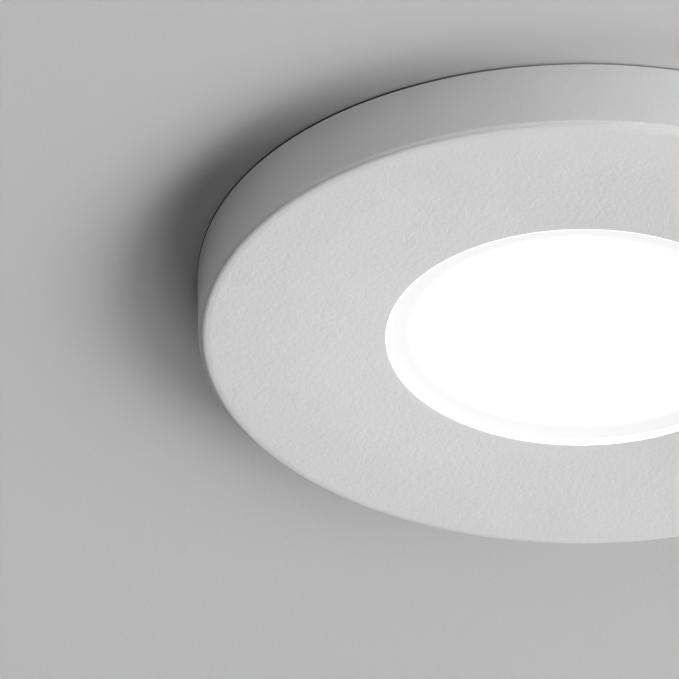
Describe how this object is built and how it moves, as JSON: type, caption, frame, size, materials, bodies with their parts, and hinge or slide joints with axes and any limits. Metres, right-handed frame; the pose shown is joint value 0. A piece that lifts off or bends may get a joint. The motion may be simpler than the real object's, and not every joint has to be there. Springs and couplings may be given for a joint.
{
  "type": "recessed light",
  "caption": "Round recessed ceiling light with a thick cast trim, small opal window, finned heat sink, driver case and two spring clips.",
  "frame": {"origin": "centre of the cut-out, in the ceiling's lower face", "axes": "+Z along the light's axis, up into the ceiling; the spring clips lie along X; the cable entry faces -Y"},
  "size_m": [0.1256, 0.09, 0.0768],
  "materials": {
    "powder_coated_trim": "off-white fine textured powder coat",
    "gasket_foam": "black cellular rubber",
    "opal_diffuser": "opal acrylic, satin",
    "clear_silicone": "translucent silicone",
    "white_reflector": "matt white polycarbonate",
    "led_board_white": "white solder mask on an aluminium core",
    "led_phosphor": "yellow phosphor",
    "thermal_gel": "soft grey thermal pad",
    "cast_aluminium": "die cast, lightly shot blasted",
    "black_rubber": "moulded rubber",
    "zinc_screw": "bright zinc plate",
    "spring_sheet": "stainless sheet, rolled finish",
    "spring_wire": "drawn stainless wire",
    "pin_steel": "turned stainless",
    "black_ring": "black phosphate",
    "sleeve_silicone": "milky silicone",
    "case_plastic": "light grey polycarbonate, fine spark texture",
    "lid_plastic": "light grey polycarbonate, fine spark texture",
    "red_insulation": "PVC insulation",
    "black_insulation": "PVC insulation",
    "brown_insulation": "PVC insulation",
    "blue_insulation": "PVC insulation",
    "circuit_board": "green solder mask on glass fibre",
    "black_component": "moulded epoxy",
    "ferrite": "sintered ferrite",
    "winding_tape": "polyester tape",
    "capacitor_sleeve": "shrunk sleeve with an aluminium end",
    "film_box": "moulded film capacitor box",
    "varistor_coat": "dipped epoxy",
    "terminal_plastic": "natural nylon",
    "brass_screw": "nickel-washed brass"
  },
  "bodies": {
    "root": {"bezel": "powder_coated_trim", "ceiling_gasket": "gasket_foam", "diffuser_seal": "clear_silicone", "diffuser": "opal_diffuser", "reflector": "white_reflector", "led_board": "led_board_white", "led_chips": "led_phosphor", "board_screws": "zinc_screw", "thermal_pad": "thermal_gel", "heat_sink": "cast_aluminium", "collar_seal": "black_rubber", "bezel_screws": "zinc_screw", "clip_bracket_left": "spring_sheet", "clip_bracket_right": "spring_sheet", "clip_pin_left": "pin_steel", "clip_pin_right": "pin_steel", "clip_spring_left": "spring_wire", "clip_spring_right": "spring_wire", "pin_rings": "black_ring", "bracket_screws": "zinc_screw", "driver_case": "case_plastic", "case_screws": "zinc_screw", "lead_grommet": "black_rubber", "lead_red": "red_insulation", "lead_black": "black_insulation", "driver_board": "circuit_board", "pcb_screws": "zinc_screw", "fuse": "black_component", "choke": "ferrite", "transformer": "winding_tape", "input_capacitor": "capacitor_sleeve", "output_capacitor": "capacitor_sleeve", "filter_capacitor": "film_box", "varistor": "varistor_coat", "driver_chips": "black_component", "supply_lead_live": "brown_insulation", "supply_lead_neutral": "blue_insulation", "driver_cover": "lid_plastic", "cover_screws": "zinc_screw", "terminal_block": "terminal_plastic", "terminal_screws": "brass_screw", "lid_hinge_pin": "pin_steel", "cord_clamp": "terminal_plastic", "clamp_screws": "zinc_screw", "cable_grommet": "black_rubber"},
    "arm_left": {"clip_arm_left": "spring_sheet", "clip_sleeve_left": "sleeve_silicone"},
    "arm_right": {"clip_arm_right": "spring_sheet", "clip_sleeve_right": "sleeve_silicone"},
    "lid": {"terminal_lid": "lid_plastic"}
  },
  "joints": [
    {"name": "clip_left", "type": "hinge", "parent": "root", "child": "arm_left", "pos_m": [-0.0306, 0, 0.0182], "axis": [0, 1, 0], "range_deg": [0, 108], "stiffness_Nm_per_rad": 0.12, "springref_deg": -51.57, "deforming": ["clip_spring_left"]},
    {"name": "clip_right", "type": "hinge", "parent": "root", "child": "arm_right", "pos_m": [0.0306, 0, 0.0182], "axis": [0, -1, 0], "range_deg": [0, 108], "stiffness_Nm_per_rad": 0.12, "springref_deg": -51.57, "deforming": ["clip_spring_right"]},
    {"name": "terminal_lid_hinge", "type": "hinge", "parent": "root", "child": "lid", "pos_m": [0, -0.0086, 0.0662], "axis": [-1, 0, 0], "range_deg": [0, 110]}
  ]
}
